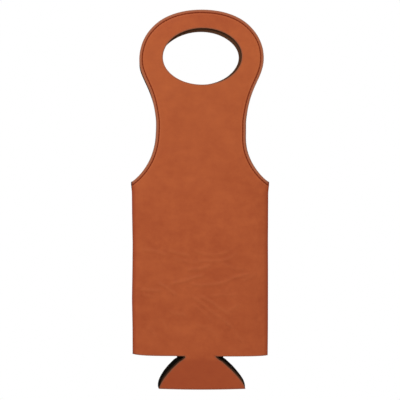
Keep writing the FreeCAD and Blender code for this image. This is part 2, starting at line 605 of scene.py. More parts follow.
    def shift(self, flat: np.ndarray, face: Face, pattern: Pattern) -> np.ndarray:
        """Movement within the sheet's own plane.

        Args:
            flat: Points of the flat cut (x, z).
            face: The face they belong to.
            pattern: The flat cut.

        Returns:
            The movement (x, z) of each point.
        """
        x, z = flat.T
        part = x / pattern.body_half
        hem, crease = pattern.bottom, pattern.crease
        base = self.front_base if face is Face.FRONT else self.back_base
        across = np.where(z < hem, base.across(z, part), self.body.across(z, part))
        near = band(z, (hem - self.bow_below, hem), (hem, hem + self.bow_above))
        level = np.interp(x, self.bow_turn, self.bow_level)
        down = near * (np.where(x < 0, *self.bow) * part**self.bow_power - level)
        foot = 1 - smooth(z, crease, crease + self.foot_reach)
        down += foot * self.foot_bow * ((x / pattern.base_half) ** 2 - self.foot_rest)
        at_tip = 1 - smooth(np.abs(z - pattern.tip), 0.0, self.tip_reach)
        down -= self.tip_sag * smooth(np.abs(x), *self.tip_rise) * at_tip
        ring = np.hypot(x / pattern.hole_half_width, (z - pattern.hole_level) / pattern.hole_half_height)
        rim = 1 - smooth(ring, *self.hole_ring)
        moved = np.stack([across + self.hole_lean * rim, down], axis=1)
        return moved + self.slip(flat, rim) if face is Face.BACK else moved

    def slip(self, flat: np.ndarray, rim: np.ndarray) -> np.ndarray:
        """How the back loop has slipped behind the front one.

        Args:
            flat: Points of the flat cut (x, z).
            rim: How close each point is to the rim of the hole, from 0 to 1.

        Returns:
            The movement (x, z) of each point.
        """
        x, z = flat.T
        cheek = band(z, *self.back_cheek) * (1 - rim)
        waist = band(z, *self.back_waist)
        across = self.back_across * rim + self.back_lean * cheek + self.back_spread * waist * np.sign(x)
        down = (self.back_down + self.back_tilt * x) * smooth(z, *self.back_rise)
        return np.stack([across, down], axis=1)

    def lift(self, flat: np.ndarray, face: Face, pattern: Pattern) -> np.ndarray:
        """Outward movement of the whole laminate.

        Args:
            flat: Points of the flat cut (x, z).
            face: The face they belong to.
            pattern: The flat cut.

        Returns:
            One distance per point.
        """
        x, z = flat.T
        body = band(z, (pattern.bottom, pattern.bottom + self.swell_reach), self.swell_fall)
        crown = np.clip(1 - (x / (self.crown_share * pattern.body_half)) ** self.crown_power, 0, 1)
        scale, seed = self.wave_scale, face.pick(self.wave_seed)
        wave = np.array([noise.noise(Vector((a * scale, b * scale, seed))) for a, b in flat])
        wave = self.wave * (wave + self.wave_bias) * (self.wave_least + (1 - self.wave_least) * body)
        calm = smooth(pattern.body_half - np.abs(x), 0.0, self.calm_reach)
        return self.swell * body * crown + calm * (wave + self.wrinkled(flat, face))

    def wrinkled(self, flat: np.ndarray, face: Face) -> np.ndarray:
        """Height of the wrinkles, of which the back has every other one, higher up and softer.

        Args:
            flat: Points of the flat cut (x, z).
            face: The face they belong to.

        Returns:
            One distance per point.
        """
        ridges, share = self.wrinkles, 1.0
        if face is Face.BACK:
            ridges, share = ridges[1::2], self.back_share
            flat = flat - (0, self.back_raise)
        heights = [ridge.rise(flat, self.wrinkle_width, self.wrinkle_taper) for ridge in ridges]
        return share * np.sum(heights, axis=0)


@dataclass
class FlatCut:
    """A triangulated flat region, with the distance of its points from each kind of edge."""

    points: np.ndarray
    triangles: np.ndarray
    sewn: np.ndarray
    hole: np.ndarray
    side: np.ndarray
    raw: np.ndarray
    foot: np.ndarray

    @property
    def centres(self) -> np.ndarray:
        """Middle of each triangle."""
        return self.points[self.triangles].mean(axis=1)

    @property
    def on_base(self) -> np.ndarray:
        """Tells which points are on a base half, which alone has a foot."""
        return self.foot < FAR


def triangulate(
    lines: Sequence[np.ndarray], loose: Sequence[np.ndarray], within: Callable[[np.ndarray], np.ndarray]
) -> tuple[np.ndarray, np.ndarray]:
    """Fill a region with triangles whose edges follow the given lines.

    Args:
        lines: Open lines of points (x, z) that no triangle may cross.
        loose: Further points, of which only those in the region are taken.
        within: Tells which points lie in the region.

    Returns:
        The points, and three point numbers per triangle, all turning the same way.
    """
    edges: list[tuple[int, int]] = []
    count = 0
    for line in lines:
        edges += [(count + i, count + i + 1) for i in range(len(line) - 1)]
        count += len(line)
    cloud = np.concatenate([*lines, *(points[within(points)] for points in loose)]) / MM
    found = delaunay_2d_cdt([Vector(p) for p in cloud], edges, [], 0, MERGE, False)
    points = np.array([tuple(p) for p in found[0]]) * MM
    triangles = np.array([tuple(f) for f in found[2]])
    turn = doubled_areas(points, triangles)
    triangles[turn < 0] = triangles[turn < 0][:, ::-1]
    triangles = triangles[within(points[triangles].mean(axis=1)) & (np.abs(turn) > SLIVER)]
    used, triangles = np.unique(triangles, return_inverse=True)
    return points[used], triangles.reshape(-1, 3)


def grid(low: Pair, high: Pair, step: float) -> np.ndarray:
    """Points in staggered rows.

    Args:
        low: Lowest corner (x, z).
        high: Highest corner (x, z).
        step: Spacing in a row.

    Returns:
        The points, one per row.
    """
    rows = []
    for number, z in enumerate(np.arange(low[1], high[1], step * math.sqrt(3) / 2)):
        x = np.arange(low[0] + (number % 2) * step / 2, high[0], step)
        rows.append(np.stack([x, np.full(len(x), z)], axis=1))
    return np.concatenate(rows)


@dataclass
class Cutter:
    """Cuts the flat regions of the faces and of the base halves. Rings are distances in millimetres."""

    pattern: Pattern
    sewn_rings: tuple[float, ...] = (
        0.12, 0.35, 0.7, 1.2, 1.8, 2.2, 2.5, 2.75, 3.0, 3.25, 3.6, 4.1, 5.0, 6.4,
    )
    hole_rings: tuple[float, ...] = (0.12, 0.3, 0.6, 1.3, 2.6)
    side_rings: tuple[float, ...] = (0.12, 0.35, 0.7, 1.2, 1.9, 2.8, 3.8, 5.2)
    raw_rings: tuple[float, ...] = (0.12, 0.3, 0.6, 1.3, 2.6)
    foot_rings: tuple[float, ...] = (1.9, 3.4)
    foot_room: float = 5.0 * MM
    fill_step: float = 2.7 * MM
    face_room: float = 0.55
    base_room: float = 0.5
    wrinkled_step: float = 1.3 * MM
    wrinkled_top: float = -214.0 * MM
    corner_room: float = 0.1 * MM
    overrun: float = 1.0 * MM

    def face(self) -> FlatCut:
        """Cut one face, from the handle down to the notch of the base.

        Returns:
            The flat cut.
        """
        p = self.pattern
        half = p.body_half
        edge = p.free_edge(0)
        side = p.sewn_side(Side.RIGHT, edge[-1][1])
        hem = run((half, p.bottom), (p.neck_half, p.bottom), p.step)
        right = [side, hem, p.slit]
        left = [line * MIRROR for line in reversed(right)]
        around = [*right, p.lintel, *(line[::-1] for line in left)]
        loop = np.concatenate([edge, *(line[1:] for line in around)])[:-1]
        hole = p.hole(0)
        seams = [run((-half, p.handle_cut), (half, p.handle_cut), p.step)]
        levels = (p.handle_cut, p.bottom - self.overrun)
        for way in (1, -1):
            ends = [(way * p.fold_x(level, -p.fold_reach), level) for level in levels]
            seams.append(run(*ends, p.step))
        loose = [p.free_edge(d * MM) for d in self.sewn_rings]
        loose += [p.hole(d * MM) for d in self.hole_rings]
        for d in self.side_rings:
            loose += both(side - (d * MM, 0))
        for d in self.raw_rings:
            loose += both(hem + (0, d * MM))
        low = grid((-half, p.bottom), (half, self.wrinkled_top), self.wrinkled_step)
        high = grid((-half, self.wrinkled_top + self.wrinkled_step), (half, p.top), self.fill_step)
        fill = np.concatenate([low, high])
        room = self.face_room * self.fill_step
        clear = distance_to(fill, edge) > self.sewn_rings[-1] * MM + room
        clear &= distance_to(fill, closed(hole)) > self.hole_rings[-1] * MM + room
        clear &= half - np.abs(fill[:, 0]) > self.side_rings[-1] * MM + room
        clear &= fill[:, 1] - p.bottom > self.raw_rings[-1] * MM + room
        clear &= nearest(fill, seams) > room
        points, triangles = triangulate(
            [edge, *right, p.lintel, *left, closed(hole), *seams],
            [*loose, fill[clear]],
            lambda cloud: inside(cloud, loop) & ~inside(cloud, hole),
        )
        return FlatCut(
            points=points,
            triangles=triangles,
            sewn=distance_to(points, edge),
            hole=distance_to(points, closed(hole)),
            side=nearest(points, both(side)),
            raw=nearest(points, both(hem)),
            foot=np.full(len(points), FAR),
        )

    def base(self, face: Face) -> FlatCut:
        """Cut one half of the base with its neck.

        Args:
            face: The face that the half hangs from.

        Returns:
            The flat cut.
        """
        p = self.pattern
        flank = p.flank(face)
        corner = (p.neck_half, p.bottom)
        edges = [flank]
        if math.dist(flank[-1], corner) < self.corner_room:
            flank[-1] = corner
        else:
            edges.append(run(tuple(flank[-1]), corner, p.step / 2))
        right = [*edges, p.slit]
        foot = run((-flank[0][0], p.crease), (flank[0][0], p.crease), p.step)
        up, down = both(np.concatenate(right))
        loop = np.concatenate([up, down[::-1]])
        ahead = np.gradient(flank, axis=0)
        inward = np.stack([-ahead[:, 1], ahead[:, 0]], axis=1)
        inward /= np.linalg.norm(inward, axis=1)[:, None]
        loose = []
        for d in self.raw_rings:
            loose += [*both(flank + d * MM * inward), foot + (0, d * MM)]
        loose += [foot + (0, d * MM) for d in self.foot_rings]
        fill = grid((-p.base_half, p.crease), (p.base_half, p.neck_cut), self.fill_step)
        room = self.base_room * self.fill_step
        clear = nearest(fill, [up, down]) > self.raw_rings[-1] * MM + room
        clear &= fill[:, 1] - p.crease > self.foot_room
        clear &= distance_to(fill, p.lintel) > room
        points, triangles = triangulate(
            [foot, *right, p.lintel, *(line * MIRROR for line in right)],
            [*loose, fill[clear]],
            lambda cloud: inside(cloud, loop),
        )
        far = np.full(len(points), FAR)
        return FlatCut(
            points=points,
            triangles=triangles,
            sewn=far,
            hole=far,
            side=far,
            raw=nearest(points, [line for edge in edges for line in both(edge)]),
            foot=points[:, 1] - p.crease,
        )


@dataclass(frozen=True)
class Laminate:
    """Leatherette on foam: where its surfaces lie off the middle plane, before the drape."""

    outer: float
    bond: float
    inner: float
    stitch_inset: float = STITCH_INSET * MM
    groove_depth: float = 0.38 * MM
    groove_width: float = 0.42 * MM
    puff: float = 0.5 * MM
    puff_reach: float = 4.0 * MM
    rim_squeeze: float = 0.3 * MM
    rim_round: float = 0.8 * MM
    rim_fall: float = 0.48 * MM
    raw_round: float = 0.4 * MM
    raw_fall: float = 0.32 * MM
    side_round: float = 11.0 * MM
    side_fall: float = 3.1 * MM
    foot_round: float = 2.6 * MM
    foot_fall: float = 2.34 * MM
    foot_squeeze: float = 0.7 * MM
    foot_reach: float = 20.0 * MM
    seam_lap: float = 1.3 * MM
    lap_reach: float = 1.6 * MM
    least_top: float = 0.25 * MM
    least_skin: float = 0.6
    least_gap: float = 0.02 * MM
    least_foam: float = 0.05 * MM

    @classmethod
    def from_frame(cls) -> "Laminate":
        """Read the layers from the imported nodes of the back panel."""
        skin_low, skin_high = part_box("back_panel_skin")
        return cls(outer=skin_high.y, bond=skin_low.y, inner=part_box("back_panel_lining")[0].y)

    def side_drop(self, side: np.ndarray) -> np.ndarray:
        """How far the skin falls away at given distances from a sewn side."""
        return rounding(side, self.side_round, self.side_fall)

    def surfaces(self, cut: FlatCut) -> dict[Layer, tuple[np.ndarray, np.ndarray]]:
        """Outer and inner surface of each layer.

        Args:
            cut: The flat cut.

        Returns:
            For each layer, the distances of its outer and its inner surface from the middle plane.
        """
        off_stitch = cut.sewn - self.stitch_inset
        top = np.full(len(cut.points), self.outer)
        top -= self.groove_depth * np.exp(-((off_stitch / self.groove_width) ** 2))
        top -= self.rim_squeeze * (1 - smooth(cut.sewn, 0, self.stitch_inset))
        top -= self.puff * np.exp(-np.clip(off_stitch, 0, None) / self.puff_reach)
        top -= rounding(cut.sewn, self.rim_round, self.rim_fall)
        top -= rounding(np.minimum(cut.hole, cut.raw), self.raw_round, self.raw_fall)
        top -= self.side_drop(cut.side)
        top -= self.foot_squeeze * (1 - smooth(cut.foot, 0, self.foot_reach))
        top -= rounding(cut.foot, self.foot_round, self.foot_fall)
        top = np.maximum(top, self.least_top)
        thickness = self.outer - self.bond
        under = np.minimum(self.bond, top - self.least_skin * thickness)
        under = np.where(cut.foot < thickness, 0.0, under)
        under = np.maximum(under, self.least_gap)
        foam_top = np.maximum(under, self.inner + self.least_foam)
        lap = self.seam_lap * (1 - smooth(cut.side, 0, self.lap_reach))
        return {Layer.SKIN: (top, under), Layer.LINING: (foam_top - lap, self.inner - lap)}


def add_node(
    tree: bpy.types.NodeTree, kind: str, inputs: Inputs | None = None, **settings: str | bool
) -> bpy.types.Node:
    """Add a node to a tree.

    Args:
        tree: The tree.
        kind: The node's full type.
        inputs: Values or sockets for its inputs, by name or number.
        settings: Properties of the node itself.

    Returns:
        The new node.
    """
    node = tree.nodes.new(kind)
    for key, value in settings.items():
        setattr(node, key, value)
    for key, value in (inputs or {}).items():
        if isinstance(value, Socket):
            tree.links.new(value, node.inputs[key])
        else:
            node.inputs[key].default_value = value
    return node


def add_object(name: str, data: bpy.types.ID) -> bpy.types.Object:
    """Put a mesh, curve, lamp or camera into the scene.

    Args:
        name: Name of the object.
        data: What it shows. A mesh is already in place.

    Returns:
        The object, at the origin.
    """
    piece = bpy.data.objects.new(name, data)
    bpy.context.scene.collection.objects.link(piece)
    return piece


@dataclass(frozen=True)
class Cloud:
    """A cloudy noise: clouds to the metre, how many finer layers it has and how strong those are."""

    scale: float
    detail: float
    roughness: float = 0.55


@dataclass(frozen=True)
class Ramp:
    """A number that goes from its start at the low value to its end at the high one, and stays there."""

    low: float
    high: float
    start: float = 0.0
    end: float = 1.0


class Graph:
    """A short way to write the shader of a material or a world as nodes."""

    def __init__(self, owner: Owner) -> None:
        """Start the owner's shader with an empty tree.

        Args:
            owner: The material or the world.
        """
        owner.use_nodes = True
        self.owner = owner
        self.tree = owner.node_tree
        self.tree.nodes.clear()

    def add(self, kind: str, inputs: Inputs | None = None, **settings: str | bool) -> bpy.types.Node:
        """Add a node of a kind, which is its type without the common prefix."""
        return add_node(self.tree, "ShaderNode" + kind, inputs, **settings)

    def mark(self, mark: Mark) -> Socket:
        """What the points of the sheet tell by a mark."""
        return self.add("Attribute", attribute_name=mark.value).outputs["Fac"]

    def mix(self, share: Value, low: Value, high: Value) -> Socket:
        """Mix two colours, by a share from 0 to 1."""
        return self.add("Mix", {0: share, 6: low, 7: high}, data_type="RGBA").outputs[2]

    def math(self, operation: str, a: Value, b: Value = 0.0) -> Socket:
        """Combine two numbers by a named operation."""
        return self.add("Math", {0: a, 1: b}, operation=operation).outputs[0]

    def total(self, *parts: tuple[Socket, float]) -> Socket:
        """Add up numbers, each times its share.

        Args:
            parts: Each number with its share.

        Returns:
            The sum.
        """
        result = self.math("MULTIPLY", *parts[0])
        for part in parts[1:]:
            result = self.math("ADD", result, self.math("MULTIPLY", *part))
        return result

    def off(self, value: Socket, middle: float) -> Socket:
        """How far a number is off a middle value."""
        return self.math("ABSOLUTE", self.math("SUBTRACT", value, middle))

    def ramp(self, value: Socket, ramp: Ramp) -> Socket:
        """Map a number by a ramp."""
        keys = {"From Min": ramp.low, "From Max": ramp.high, "To Min": ramp.start, "To Max": ramp.end}
        return self.add("MapRange", {"Value": value, **keys}, clamp=True).outputs[0]

    def noise(self, place: Socket, cloud: Cloud) -> Socket:
        """Cloudy noise at given coordinates, about 0.5 on average."""
        keys = {"Scale": cloud.scale, "Detail": cloud.detail, "Roughness": cloud.roughness}
        return self.add("TexNoise", {"Vector": place, **keys}).outputs[0]

    def bump(self, strength: float, depth: float, height: Socket, **over: Socket) -> Socket:
        """Raise the surface by a height, over another bump where its Normal is given."""
        keys = {"Strength": strength, "Distance": depth, "Height": height, **over}
        return self.add("Bump", keys).outputs[0]

    def surface(
        self, colour: Socket, roughness: Value, specular: float, normal: Socket
    ) -> bpy.types.Material:
        """Close the tree with one plain surface.

        Args:
            colour: Its colour.
            roughness: Its roughness.
            specular: Strength of its gloss.
            normal: Its bumps.

        Returns:
            The material.
        """
        keys = {
            "Base Color": colour,
            "Roughness": roughness,
            "Specular IOR Level": specular,
            "Normal": normal,
        }
        return self.finish(self.add("BsdfPrincipled", keys))

    def finish(self, shader: bpy.types.Node, output: str = "OutputMaterial") -> Owner:
        """Close the tree with the node that gives the surface, and return the owner."""
        self.add(output, {"Surface": shader.outputs[0]})
        return self.owner


@dataclass(frozen=True)
class Leatherette:
    """Rust leatherette with a soft mottle, a fine grain and burnished stitched edges, with painted highlights
    on the crests and beside the stitching, and painted shade in the stitch groove, along the fold, low on the
    body, at the sides and on the base.

    Ramps over the height are in metres, and those over a distance from an edge in millimetres.
    """

    light: Colour = (0.470, 0.106, 0.0320, 1.0)
    dark: Colour = (0.378, 0.073, 0.0210, 1.0)
    # painted light: a lighter, warmer colour over the upper body and the handle
    upper_light_colour: Colour = (0.485, 0.126, 0.0345, 1.0)
    # painted shade in the stitch groove, together with its needle holes
    groove: Colour = (0.210, 0.026, 0.006, 1.0)
    burnished: Colour = (0.325, 0.124, 0.066, 1.0)
    # darker along the hem and the hole rim, and painted shade along the fold at the foot of the base
    edge_dark_and_fold_shade: Colour = (0.250, 0.090, 0.048, 1.0)
    shaded: Colour = (0.322, 0.056, 0.018, 1.0)
    # painted highlight: a lighter colour on the wrinkle crests and on the padding beside the stitching
    pulled: Colour = (0.52, 0.140, 0.046, 1.0)
    mottle: Cloud = Cloud(95.0, 6.0, 0.62)
    mottle_share: float = 0.5
    patch: Cloud = Cloud(22.0, 2.0)
    patch_share: float = 0.32
    streak: Cloud = Cloud(1.0, 4.0, 0.6)
    streak_share: float = 0.18
    streak_scale: Triple = (26.0, 120.0, 1.0)
    streak_turn: Triple = (0, 0, math.radians(36))
    streak_strength: float = 0.6
    streak_depth: float = 0.10 * MM
    tone: Ramp = Ramp(0.36, 0.64)
    # painted highlight on the wrinkle crests
    crest_highlight: float = 0.32
    # span of the painted light on the upper body, fading out at the top of the handle
    upper_light_foot: Ramp = Ramp(-0.19, -0.04)
    upper_light_top: Ramp = Ramp(-0.02, 0.012, 0.28, 0.0)
    # painted shade: darker low on the body
    low_shade: Ramp = Ramp(-0.26, -0.20, 0.09, 0.0)
    # darker at the very top of the handle
    top_darkening: Ramp = Ramp(-0.006, 0.014, 0.0, 0.12)
    side_shade: Ramp = Ramp(0.2, 4.2, 1.0, 0.0)
    # painted shade in the stitch groove, together with its needle holes
    groove_line: Ramp = Ramp(0.2, 0.8, 0.9, 0.0)
    # painted highlight on the padding just inside the stitching
    pulled_line: Ramp = Ramp(0.0, 0.9, 0.35, 0.0)
    pulled_inset: float = STITCH_INSET + 1.3
    rim_burnish: Ramp = Ramp(1.2, 2.7, 0.75, 0.0)
    # darker along the hem and the hole rim, and painted shade along the fold at the foot of the base
    raw_dark_and_fold_shade: Ramp = Ramp(0.2, 1.5, 0.75, 0.0)
    grain_scale: float = 1350.0
    grain_strength: float = 0.55
    grain_depth: float = 0.04 * MM
    fine: Cloud = Cloud(2600.0, 2.0)
    fine_share: float = 0.35
    roughness: Ramp = Ramp(0.35, 0.65, 0.55, 0.70)
    specular: float = 0.12

    def material(self) -> bpy.types.Material:
        """Build the material.

        Returns:
            The material.
        """
        g = Graph(bpy.data.materials.new("leatherette"))
        place = g.add("UVMap", uv_map=UV_NAME).outputs[0]
        mottle = g.noise(place, self.mottle)
        slant = {"Vector": place, "Rotation": self.streak_turn, "Scale": self.streak_scale}
        streak = g.noise(g.add("Mapping", slant).outputs[0], self.streak)
        patch = g.noise(place, self.patch)
        tone = g.total((mottle, self.mottle_share), (patch, self.patch_share), (streak, self.streak_share))
        colour = self.coated(g, place, g.mix(g.ramp(tone, self.tone), self.dark, self.light))
        cells = g.add("TexVoronoi", {"Vector": place, "Scale": self.grain_scale}, feature="SMOOTH_F1")
        fine = g.math("MULTIPLY", g.noise(place, self.fine), self.fine_share)
        grain = g.math("ADD", cells.outputs["Distance"], fine)
        bump = g.bump(self.grain_strength, self.grain_depth, grain)
        bump = g.bump(self.streak_strength, self.streak_depth, streak, Normal=bump)
        return g.surface(colour, g.ramp(mottle, self.roughness), self.specular, bump)

    def coated(self, g: Graph, place: Socket, colour: Socket) -> Socket:
        """Lay the marks of making and use, and painted light and shade, over the plain colour, one after the
        other.

        Args:
            g: The material's nodes.
            place: Cloth coordinates.
            colour: The plain colour.

        Returns:
            The colour with all its coats.
        """
        height = g.add("SeparateXYZ", {0: place}).outputs["Y"]
        sewn = g.mark(Mark.SEWN)
        # painted light: lighter and warmer over the upper body and the handle
        upper_light = g.math("MULTIPLY", g.ramp(height, self.upper_light_foot), g.ramp(height, self.upper_light_top))
        coats = (
            # painted highlight on the wrinkle crests
            (g.math("MULTIPLY", g.mark(Mark.CREST), self.crest_highlight), self.pulled),
            (upper_light, self.upper_light_colour),
            # painted shade low on the body
            (g.ramp(height, self.low_shade), self.shaded),
            # darker at the very top of the handle
            (g.ramp(height, self.top_darkening), self.shaded),
            # painted shade on the base
            (g.mark(Mark.TONE), self.shaded),
            (g.ramp(g.mark(Mark.SIDE), self.side_shade), self.shaded),
            # painted shade in the stitch groove, together with its needle holes
            (g.ramp(g.off(sewn, STITCH_INSET), self.groove_line), self.groove),
            # painted highlight on the padding just inside the stitching
            (g.ramp(g.off(sewn, self.pulled_inset), self.pulled_line), self.pulled),
            (g.ramp(sewn, self.rim_burnish), self.burnished),
            # darker along the hem and the hole rim, and painted shade along the fold at the foot of the base
            (g.ramp(g.mark(Mark.RAW), self.raw_dark_and_fold_shade), self.edge_dark_and_fold_shade),
        )
        for share, coat in coats:
            colour = g.mix(share, colour, coat)
        return colour


@dataclass(frozen=True)
class CutEdge:
    """Fabric backing of the leatherette where it is cut."""

    light: Colour = (0.34, 0.15, 0.085, 1.0)
    dark: Colour = (0.22, 0.085, 0.045, 1.0)
    fibre: Cloud = Cloud(1900.0, 4.0, 0.7)
    tone: Ramp = Ramp(0.35, 0.65)
    bump_strength: float = 0.6
    bump_depth: float = 0.05 * MM
    roughness: float = 0.9
    specular: float = 0.15

    def material(self) -> bpy.types.Material:
        """Build the material.

        Returns:
            The material.
        """
        g = Graph(bpy.data.materials.new("cut_edge"))
        fibre = g.noise(g.add("TexCoord").outputs["Object"], self.fibre)
        colour = g.mix(g.ramp(fibre, self.tone), self.dark, self.light)
        bump = g.bump(self.bump_strength, self.bump_depth, fibre)
        return g.surface(colour, self.roughness, self.specular, bump)


@dataclass(frozen=True)
class Foam:
    """Black foam lining with fine open cells, browner beside its cuts."""

    name: str = "foam_lining"
    light: Colour = (0.009, 0.0062, 0.0045, 1.0)
    dark: Colour = (0.002, 0.0014, 0.0010, 1.0)
    cut: Colour = (0.092, 0.039, 0.019, 1.0)
    cell_scale: float = 1700.0
    cell_share: float = 0.5
    dust: Cloud = Cloud(160.0, 4.0, 0.6)
    dust_share: float = 0.6
    tone: Ramp = Ramp(0.3, 0.75)
    bump_strength: float = 0.7
    bump_depth: float = 0.12 * MM
    roughness: float = 0.95
    specular: float = 0.05

    def material(self) -> bpy.types.Material:
        """Build the material.

        Returns:
            The material.
        """
        g = Graph(bpy.data.materials.new(self.name))
        place = g.add("TexCoord").outputs["Object"]
        cells = g.add("TexVoronoi", {"Vector": place, "Scale": self.cell_scale}).outputs["Distance"]
        blotch = g.total((cells, self.cell_share), (g.noise(place, self.dust), self.dust_share))
        colour = g.mix(g.ramp(blotch, self.tone), self.dark, self.light)
        colour = g.mix(g.mark(Mark.TONE), colour, self.cut)
        bump = g.bump(self.bump_strength, self.bump_depth, cells)
        return g.surface(colour, self.roughness, self.specular, bump)


@dataclass(frozen=True)
class Thread:
    """Dark rust sewing thread with its twist."""

    light: Colour = (0.24, 0.030, 0.006, 1.0)
    dark: Colour = (0.14, 0.014, 0.003, 1.0)
    twist_scale: float = 420.0
    twist_bend: float = 1.5
    twist_detail: float = 1.0
    bump_strength: float = 0.5
    bump_depth: float = 0.05 * MM
    roughness: float = 0.65
    specular: float = 0.1

    def material(self) -> bpy.types.Material:
        """Build the material.

        Returns:
            The material.
        """
        g = Graph(bpy.data.materials.new("thread"))
        place = g.add("TexCoord").outputs["Object"]
        keys = {"Scale": self.twist_scale, "Distortion": self.twist_bend, "Detail": self.twist_detail}
        twist = g.add("TexWave", {"Vector": place, **keys}, bands_direction="DIAGONAL").outputs[1]
        bump = g.bump(self.bump_strength, self.bump_depth, twist)
        return g.surface(g.mix(twist, self.dark, self.light), self.roughness, self.specular, bump)


@dataclass
class Finishes:
    """The materials that the pieces share."""

    leatherette: bpy.types.Material
    cut_edge: bpy.types.Material
    foam: bpy.types.Material
    foam_edge: bpy.types.Material
    thread: bpy.types.Material

    @classmethod
    def build(cls) -> "Finishes":
        """Make every material once.

        Returns:
            The materials.
        """
        edge = Foam("foam_edge", light=(0.095, 0.045, 0.022, 1.0), dark=(0.045, 0.020, 0.009, 1.0))
        return cls(
            leatherette=Leatherette().material(),
            cut_edge=CutEdge().material(),
            foam=Foam().material(),
            foam_edge=edge.material(),
            thread=Thread().material(),
        )


@dataclass
class Tailor:
    """Turns triangles of a flat cut into a closed piece of one layer.

    Pairs are for the front and the back, apart from hole_fade, which is a span of distances.
    """

    pattern: Pattern
    laminate: Laminate
    drape: Drape
    finishes: Finishes
    # painted shade: how much darker the leatherette of the base is, and over what reach above the hem it
    # fades in
    base_tone: float = 0.6
    tone_reach: float = 6.0 * MM
    foam_reach: Pair = (2.2 * MM, 0.7 * MM)
    foam_fade: float = 4.0 * MM
    foot_fade: float = 12.0 * MM
    foam_glow: float = 1.1 * MM
    seam_reach: float = 0.25 * MM
    seam_fade: float = 2.0 * MM
    turned_in: float = 0.4 * MM
    foot_wall: float = 0.2 * MM
    side_wall: float = 0.05 * MM
    hole_fade: Pair = (2.5 * MM, 5.0 * MM)
    cloth_offset: Pair = (0.0, 1.0)
    sharp_angle: float = math.radians(50)

    def place(self, flat: np.ndarray, face: Face) -> tuple[np.ndarray, np.ndarray]:
        """Draped plan (x, z) of the flat points of a face, and how far each of them moves outwards."""
        plan = flat + self.drape.shift(flat, face, self.pattern)
        return plan, self.drape.lift(flat, face, self.pattern)

    def spread_foam(self, plan: np.ndarray, cut: FlatCut, face: Face) -> None:
        """Let a lining reach past its leatherette at the cuts of the base and at the sewn sides.

        Args:
            plan: Draped points (x, z) of the lining, which are moved.
            cut: The flat cut that they come from.
            face: The face it belongs to.
        """
        way = np.sign(plan[:, 0])
        reach = face.pick(self.foam_reach) * way * cut.on_base
        plan[:, 0] += reach * (1 - smooth(cut.raw, 0, self.foam_fade)) * smooth(cut.foot, 0, self.foot_fade)
        plan[:, 0] += self.seam_reach * way * (1 - smooth(cut.side, 0, self.seam_fade))

    def sew(self, name: str, cut: FlatCut, chosen: np.ndarray, face: Face, layer: Layer) -> bpy.types.Object:
        """Make one piece.

        Args:
            name: Name of the piece.
            cut: The flat cut that it comes from.
            chosen: Tells which triangles it takes.
            face: The face it belongs to.
            layer: Its layer of the laminate.

        Returns:
            The piece.
        """
        plan, lift = self.place(cut.points, face)
        if layer is Layer.LINING:
            self.spread_foam(plan, cut, face)
        triangles = cut.triangles[chosen]
        used, local = np.unique(triangles, return_inverse=True)
        local = local.reshape(-1, 3)
        if face is Face.BACK:
            local = local[:, ::-1]
        levels = [level + lift for level in self.laminate.surfaces(cut)[layer]]
        shell = np.concatenate([stand(plan, face.value * level)[used] for level in levels])
        border = self.border(local)
        start, end = border.T
        walls = np.stack([end, start, start + len(used), end + len(used)], axis=1)
        mesh = bpy.data.meshes.new(name)
        faces = local.tolist() + (local[:, ::-1] + len(used)).tolist() + walls.tolist()
        mesh.from_pydata(shell.tolist(), [], faces)
        self.dress(mesh, cut.foot[used][border], cut.side[used][border], cut.side[used][local], layer)
        self.mark(mesh, cut, used, face, layer)
        mesh.shade_smooth()
        mesh.set_sharp_from_angle(angle=self.sharp_angle)
        piece = add_object(name, mesh)
        return piece

    @staticmethod
    def border(triangles: np.ndarray) -> np.ndarray:
        """Edges that only one triangle has.

        Args:
            triangles: Three point numbers per row.

        Returns:
            Two point numbers per row, in the direction of the triangle.
        """
        edges = np.concatenate([triangles[:, [0, 1]], triangles[:, [1, 2]], triangles[:, [2, 0]]]).tolist()
        known = {tuple(edge) for edge in edges}
        return np.array([edge for edge in edges if (edge[1], edge[0]) not in known])

    def dress(
        self,
        mesh: bpy.types.Mesh,
        wall_foot: np.ndarray,
        wall_side: np.ndarray,
        side: np.ndarray,
        layer: Layer,
    ) -> None:
        """Give the surfaces and walls of a shell their finishes, with leatherette turned in at the sides.

        Args:
            mesh: The shell: its outer surface, its inner surface and its walls.
            wall_foot: Distance of the ends of each wall from the foot of the base.
            wall_side: Distance of the ends of each wall from the sewn sides.
            side: Distance of the corners of each triangle from the sewn sides.
            layer: Its layer of the laminate.
        """
        f = self.finishes
        slots = np.zeros(len(mesh.polygons), np.int32)
        surfaces, walls = np.split(slots, [2 * len(side)])
        sewn = wall_side.max(axis=1) < self.side_wall
        walls[:] = ~(sewn | (wall_foot.max(axis=1) < self.foot_wall))
        finishes = [f.leatherette, f.cut_edge]
        if layer is Layer.LINING:
            finishes = [f.foam, f.foam_edge, f.leatherette]
            turned = finishes.index(f.leatherette)
            surfaces[np.tile(side.max(axis=1) < self.turned_in, 2)] = turned
            walls[sewn] = turned
        for finish in finishes:
            mesh.materials.append(finish)
        mesh.polygons.foreach_set("material_index", slots)

    def mark(self, mesh: bpy.types.Mesh, cut: FlatCut, used: np.ndarray, face: Face, layer: Layer) -> None:
        """Give a shell its cloth coordinates, its distances from the edges and its change of tone.

        The leatherette is darker on the base, which is painted shade, and the foam is browner beside its
        cuts.

        Args:
            mesh: The shell, with the outer points first.
            cut: The flat cut that it comes from.
            used: Numbers of the cut's points in the shell.
            face: The face it belongs to.
            layer: Its layer of the laminate.
        """
        cloth = np.tile(cut.points[used], (2, 1)) + (face.pick(self.cloth_offset), 0.0)
        corners = np.zeros(len(mesh.loops), np.int32)
        mesh.loops.foreach_get("vertex_index", corners)
        mesh.uv_layers.new(name=UV_NAME).data.foreach_set("uv", cloth[corners].astype(np.float32).ravel())
